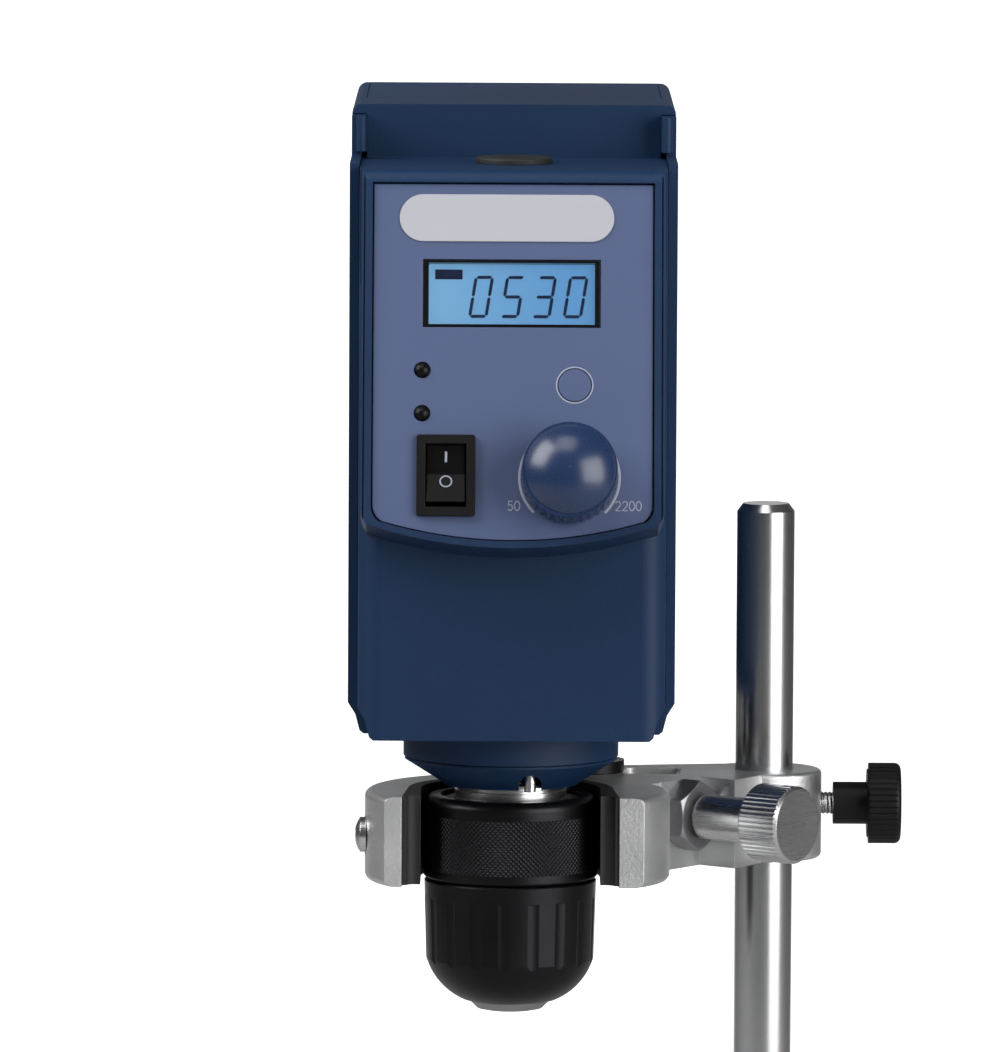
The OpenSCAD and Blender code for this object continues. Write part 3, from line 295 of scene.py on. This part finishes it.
print("stage: finishes")

# the control panel's own frame: across, up the slope and outwards, in millimetres
panel = {"origin": (0, -29, 216), "tilt": math.radians(14), "plate": -0.8, "lit": -2.8}


def onPanel(u, v, w):
    x, y, z = panel["origin"]
    lean, rise = math.sin(panel["tilt"]), math.cos(panel["tilt"])
    return mm(x + u, y + v * lean - w * rise, z + v * rise + w * lean)


def newPiece(name, bm, finish, node):
    bmesh.ops.recalc_face_normals(bm, faces=bm.faces)
    mesh = bpy.data.meshes.new(name)
    bm.to_mesh(mesh)
    bm.free()
    made = bpy.data.objects.new(name, mesh)
    scene.collection.objects.link(made)
    mesh.materials.append(materials[finish])
    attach(made, nodes[node]["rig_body"])
    return made


# flat prism over an outline, from one level to another
def prism(bm, outline, low, high, place):
    under = [bm.verts.new(place(u, v, low)) for u, v in outline]
    over = [bm.verts.new(place(u, v, high)) for u, v in outline]
    count = len(outline)
    bm.faces.new(over)
    bm.faces.new(list(reversed(under)))
    for i in range(count):
        j = (i + 1) % count
        bm.faces.new((under[i], under[j], over[j], over[i]))


# raised line of even width along points
def ribbon(bm, points, width, low, high, place, closed=False):
    rows = []
    count = len(points)
    for i in range(count):
        here = Vector(points[i])
        before = Vector(points[i - 1]) if i or closed else None
        after = Vector(points[(i + 1) % count]) if i < count - 1 or closed else None
        ways = []
        if before is not None:
            ways.append((here - before).normalized())
        if after is not None:
            ways.append((after - here).normalized())
        way = sum(ways, Vector((0, 0))).normalized()
        side = Vector((-way.y, way.x)) * width / 2 / max(0.5, way.dot(ways[0]))
        corners = [(here + side, low), (here + side, high), (here - side, high), (here - side, low)]
        rows.append([bm.verts.new(place(p.x, p.y, level)) for p, level in corners])
    for i in range(count if closed else count - 1):
        first, second = rows[i], rows[(i + 1) % count]
        for k in range(4):
            m = (k + 1) % 4
            bm.faces.new((first[k], first[m], second[m], second[k]))
    if not closed:
        bm.faces.new(rows[0])
        bm.faces.new(list(reversed(rows[-1])))


def arc(centre, radius, start, end, steps):
    out = []
    for i in range(steps + 1):
        a = math.radians(start + (end - start) * i / steps)
        out.append((centre[0] + radius[0] * math.cos(a), centre[1] + radius[1] * math.sin(a)))
    return out


# points of a closed ring
def loop(centre, radius, count):
    return arc(centre, radius, 0, 360 - 360 / count, count - 1)


# lit display: four slanted figures of seven segments and a plain flag
display = {"figures": "0530", "left": -10.95, "pitch": 7.92, "low": -36, "tall": 9.95, "wide": 4.1,
           "line": 0.8, "slant": math.tan(math.radians(9)), "gap": 0.08, "under": 0.02, "over": 0.12,
           "flag": (-19.7, -12.8, -26.6, -24.1)}
lit = {"0": "abcdef", "5": "afgcd", "3": "abgcd"}
ends = {"a": ((0, 2), (1, 2)), "b": ((1, 2), (1, 1)), "c": ((1, 1), (1, 0)), "d": ((1, 0), (0, 0)),
        "e": ((0, 0), (0, 1)), "f": ((0, 1), (0, 2)), "g": ((0, 1), (1, 1))}
figureLow, figureHigh = panel["lit"] + display["under"], panel["lit"] + display["over"]
bm = bmesh.new()
for i, figure in enumerate(display["figures"]):
    for key in lit[figure]:
        a, b = (Vector((p[0] * display["wide"], p[1] * display["tall"] / 2)) for p in ends[key])
        way = (b - a).normalized()
        half = display["line"] / 2
        side = Vector((-way.y, way.x)) * half
        a, b = a + way * display["gap"], b - way * display["gap"]
        step = way * half
        shape = [a, a + step - side, b - step - side, b, b - step + side, a + step + side]
        outline = [(display["left"] + i * display["pitch"] + p.x + p.y * display["slant"],
                    display["low"] + p.y) for p in shape]
        prism(bm, outline, figureLow, figureHigh, onPanel)
u0, u1, v0, v1 = display["flag"]
prism(bm, [(u0, v0), (u1, v0), (u1, v1), (u0, v1)], figureLow, figureHigh, onPanel)
newPiece("display_figures", bm, "figures", "display_module")
print("stage: display")

# printed marks on the plate: ring round the button, dial arcs and the dial's two numbers
marks = {"low": panel["plate"] - 0.02, "high": panel["plate"] + 0.05, "thin": 0.36, "wide": 0.68,
         "button": (15.5, -53.7), "buttonRing": 4.55, "knob": (14.3, -77.2), "dial": 12.55,
         "left": (146, 225), "right": (34, -45), "steps": 24,
         "figureTall": 2.35, "figureWide": 1.3, "figureStep": 1.72, "figureLine": 0.3,
         "slow": ("50", -1.15, -85.6), "fast": ("2200", 25.85, -85.5)}
strokes = {
    "0": loop((0.5, 0.5), (0.5, 0.5), 20),
    "2": arc((0.5, 0.7), (0.46, 0.3), 165, -30, 9) + [(0.04, 0), (1, 0)],
    "5": [(0.92, 1), (0.2, 1), (0.1, 0.52)] + arc((0.46, 0.32), (0.46, 0.32), 120, -145, 11),
}
bm = bmesh.new()
ringAt = marks["button"]
ribbon(bm, loop(ringAt, (marks["buttonRing"],) * 2, 72), marks["thin"], marks["low"], marks["high"],
       onPanel, closed=True)
for start, end in (marks["left"], marks["right"]):
    points = arc(marks["knob"], (marks["dial"],) * 2, start, end, marks["steps"])
    ribbon(bm, points, marks["wide"], marks["low"], marks["high"], onPanel)
for text, u, v in (marks["slow"], marks["fast"]):
    for i, figure in enumerate(text):
        points = [(u + i * marks["figureStep"] + p[0] * marks["figureWide"], v + p[1] * marks["figureTall"])
                  for p in strokes[figure]]
        ribbon(bm, points, marks["figureLine"], marks["low"], marks["high"], onPanel, closed=figure == "0")
newPiece("panel_marks", bm, "print", "control_panel")

# bar and ring on the rocker's two faces
rocker = {"at": (-16.7, -76.9), "pivot": -4.5, "tip": math.radians(7), "fold": 3.6, "end": (7.45, 4.645),
          "bar": (4.4, 2.7, 0.6), "ring": (1.95, 1.45, 0.36), "print": (-0.02, 0.06)}


def onRocker(side):
    def place(u, s, lift):
        x0, y0, x1, y1 = 0, rocker["fold"], rocker["end"][0] * side, rocker["end"][1]
        long = math.hypot(x1 - x0, y1 - y0)
        x = x0 + (x1 - x0) * s / long - (y1 - y0) * side * lift / long
        y = y0 + (y1 - y0) * s / long + (x1 - x0) * side * lift / long
        c, n = math.cos(rocker["tip"]), math.sin(rocker["tip"])
        return onPanel(rocker["at"][0] + u, rocker["at"][1] + x * c + y * n, rocker["pivot"] - x * n + y * c)
    return place


bm = bmesh.new()
barAt, barTall, barWide = rocker["bar"]
ribbon(bm, [(0, barAt - barTall / 2), (0, barAt + barTall / 2)], barWide, *rocker["print"], onRocker(1))
ringAt, ringRadius, ringWide = rocker["ring"]
ribbon(bm, loop((0, ringAt), (ringRadius,) * 2, 24), ringWide, *rocker["print"], onRocker(-1),
       closed=True)
newPiece("rocker_marks", bm, "print", "switch_rocker")
print("stage: marks")

# diamond knurl round the rear sleeve
knurl = {"radius": 22.2, "low": 36.7, "high": 50.8, "around": 112, "depth": 0.26, "sink": 0.12, "root": 0.03}
bm = bmesh.new()
columns = 2 * knurl["around"]
pitch = 2 * math.pi * knurl["radius"] / knurl["around"]
levels = 2 * round((knurl["high"] - knurl["low"]) / pitch)
rows = []
for j in range(-1, levels + 2):
    row = []
    for i in range(columns):
        a = 2 * math.pi * i / columns
        r = knurl["radius"] + (knurl["depth"] if (i + j) % 2 == 0 else knurl["root"])
        if j in (-1, levels + 1):
            r = knurl["radius"] - knurl["sink"]
        z = knurl["low"] + (knurl["high"] - knurl["low"]) * min(max(j, 0), levels) / levels
        row.append(bm.verts.new(mm(r * math.cos(a), r * math.sin(a), z)))
    rows.append(row)
for j in range(len(rows) - 1):
    for i in range(columns):
        m = (i + 1) % columns
        a, b, c, d = rows[j][i], rows[j][m], rows[j + 1][m], rows[j + 1][i]
        if (i + j - 1) % 2 == 0:
            bm.faces.new((a, b, d))
            bm.faces.new((b, c, d))
        else:
            bm.faces.new((a, b, c))
            bm.faces.new((a, c, d))
newPiece("knurl_band", bm, "chuck", "chuck_rear_sleeve")
print("stage: knurl")

# screw threads on the two thumb screws, one turn a millimetre
thread = {"pitch": 1.0, "root": 2.62, "crest": 2.99, "steps": 8, "around": 32, "chamfer": 0.6}


def threadedScrew(name, node, axis):
    low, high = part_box(node)
    middle = (low + high) / 2
    along = Vector((axis == 0, axis == 1, axis == 2))
    across = Vector((0, 0, 1))
    other = along.cross(across)
    length = (high[axis] - low[axis]) * 1000
    start = middle - along * length / 2000
    count = int(length / thread["pitch"] * thread["steps"])
    work = bmesh.new()
    rings = []
    for j in range(count + 1):
        t = length * j / count
        ring = []
        for i in range(thread["around"]):
            share = (t / thread["pitch"] - i / thread["around"]) % 1
            r = thread["root"] + (thread["crest"] - thread["root"]) * (1 - abs(2 * share - 1))
            end = min(t, length - t)
            r = min(r, thread["crest"] - max(0, thread["chamfer"] - end))
            a = 2 * math.pi * i / thread["around"]
            outward = across * math.cos(a) + other * math.sin(a)
            ring.append(work.verts.new(start + along * t / 1000 + outward * r / 1000))
        rings.append(ring)
    for first, second in zip(rings, rings[1:]):
        for i in range(thread["around"]):
            m = (i + 1) % thread["around"]
            work.faces.new((first[i], first[m], second[m], second[i]))
    work.faces.new(rings[0])
    work.faces.new(rings[-1])
    made = newPiece(name, work, "steel", node)
    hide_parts(node)


threadedScrew("rod_screw_thread", "rod_screw", 0)
threadedScrew("post_screw_thread", "post_screw", 1)
print("stage: threads")

# camera: a long lens a little above the object
camera = bpy.data.objects.new("camera", bpy.data.cameras.new("camera"))
scene.collection.objects.link(camera)
scene.camera = camera
view = {"place": (-2.06, -2656.1, 377.6), "pitch": 5.45, "lean": -0.30, "focus": 10450.0, "height": 1052.0,
        "sensor": 36.0, "near": 0.5, "far": 20.0}
camera.data.sensor_width = view["sensor"]
camera.data.lens = view["sensor"] * view["focus"] / view["height"]
camera.data.clip_start = view["near"]
camera.data.clip_end = view["far"]
pitch = math.radians(view["pitch"])
lean = math.radians(view["lean"])
forward = Vector((0, math.cos(pitch), -math.sin(pitch)))
down = Vector((0, -math.sin(pitch), -math.cos(pitch)))
level = Vector((1, 0, 0))
right = level * math.cos(lean) + down * math.sin(lean)
down = down * math.cos(lean) - level * math.sin(lean)
turn = Matrix((right, -down, -forward)).transposed().to_4x4()
camera.matrix_world = Matrix.Translation(mm(*view["place"])) @ turn

# plain pale floor and backdrop below the stand rod's foot
sweep = {"front": -1.2, "bend": 2.0, "radius": 1.2, "top": 4.5, "half": 4, "below": 0.002}
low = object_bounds()[0].z
bm = bmesh.new()
profile = [(sweep["front"], 0)]
for a in range(0, 91, 6):
    across, rise = math.sin(math.radians(a)), 1 - math.cos(math.radians(a))
    profile.append((sweep["bend"] + sweep["radius"] * across, sweep["radius"] * rise))
profile.append((sweep["bend"] + sweep["radius"], sweep["top"]))
last = None
for y, z in profile:
    pair = [bm.verts.new((x, y, z + low - sweep["below"])) for x in (-sweep["half"], sweep["half"])]
    if last:
        bm.faces.new((last[0], last[1], pair[1], pair[0]))
    last = pair
floorMesh = bpy.data.meshes.new("floor")
bm.to_mesh(floorMesh)
bm.free()
floorMesh.shade_smooth()
floor = bpy.data.objects.new("floor", floorMesh)
scene.collection.objects.link(floor)


# pale paper that glows where it lies far behind the object
def glowingPaper(name, look):
    mat, tree = newMaterial(name)
    where = addNode(tree, "ShaderNodeTexCoord").outputs["Object"]
    split = addNode(tree, "ShaderNodeSeparateXYZ", {"Vector": where})
    aside = addNode(tree, "ShaderNodeMath", {0: split.outputs["X"]}, operation="ABSOLUTE")
    behind = addNode(tree, "ShaderNodeMapRange", {
        "Value": split.outputs["Y"], "From Min": look["near"], "From Max": look["far"]},
        interpolation_type="SMOOTHSTEP")
    middle = addNode(tree, "ShaderNodeMapRange", {
        "Value": aside.outputs["Value"], "From Min": look["wide"], "From Max": look["narrow"]},
        interpolation_type="SMOOTHSTEP")
    under = addNode(tree, "ShaderNodeMapRange", {
        "Value": split.outputs["Z"], "From Min": look["high"], "From Max": look["low"]},
        interpolation_type="SMOOTHSTEP")
    glow = look["glow"]
    for share in (behind, middle, under):
        glow = addNode(tree, "ShaderNodeMath", {0: share.outputs["Result"], 1: glow},
                       operation="MULTIPLY").outputs["Value"]
    body = addNode(tree, "ShaderNodeBsdfPrincipled", {
        "Base Color": rgb(look["paper"]), "IOR": look["ior"], "Roughness": look["roughness"],
        "Emission Color": rgb("ffffff"),
        "Emission Strength": glow})
    finishMaterial(tree, body.outputs["BSDF"])
    return mat


floorMesh.materials.append(glowingPaper("pale_backdrop_paper", {
    "near": 0.7, "far": 1.2, "wide": 0.8, "narrow": 0.38, "high": 0.65, "low": 0.3, "paper": "b4b4b4",
    "glow": 1.1, "ior": 1.4, "roughness": 0.85}))

# soft boxes by azimuth and elevation seen from the object, 0 degrees being the front
lights = [
    {"name": "key", "azimuth": -70, "elevation": 38, "far": 1500, "size": (900, 1100), "power": 25},
    {"name": "side", "azimuth": 48, "elevation": 12, "far": 1700, "size": (1350, 1300), "power": 33},
    {"name": "top", "azimuth": -15, "elevation": 68, "far": 1700, "size": (900, 900), "power": 9},
]
target = mm(0, 20, 120)
worldGlow = 0.09
for spec in lights:
    data = bpy.data.lights.new(spec["name"], "AREA")
    data.shape = "RECTANGLE"
    data.size, data.size_y = (v / 1000 for v in spec["size"])
    data.energy = spec["power"]
    lamp = bpy.data.objects.new(spec["name"], data)
    across, rise = math.radians(spec["azimuth"]), math.radians(spec["elevation"])
    way = Vector((math.sin(across) * math.cos(rise), -math.cos(across) * math.cos(rise), math.sin(rise)))
    lamp.location = target + way * spec["far"] / 1000
    lamp.rotation_euler = (-way).to_track_quat("-Z", "Y").to_euler()
    scene.collection.objects.link(lamp)
world = bpy.data.worlds.new("studio")
world.use_nodes = True
world.node_tree.nodes["Background"].inputs["Color"].default_value = rgb("ffffff")
world.node_tree.nodes["Background"].inputs["Strength"].default_value = worldGlow
scene.world = world
scene.view_settings.view_transform = "Standard"
print("stage: camera and lights")
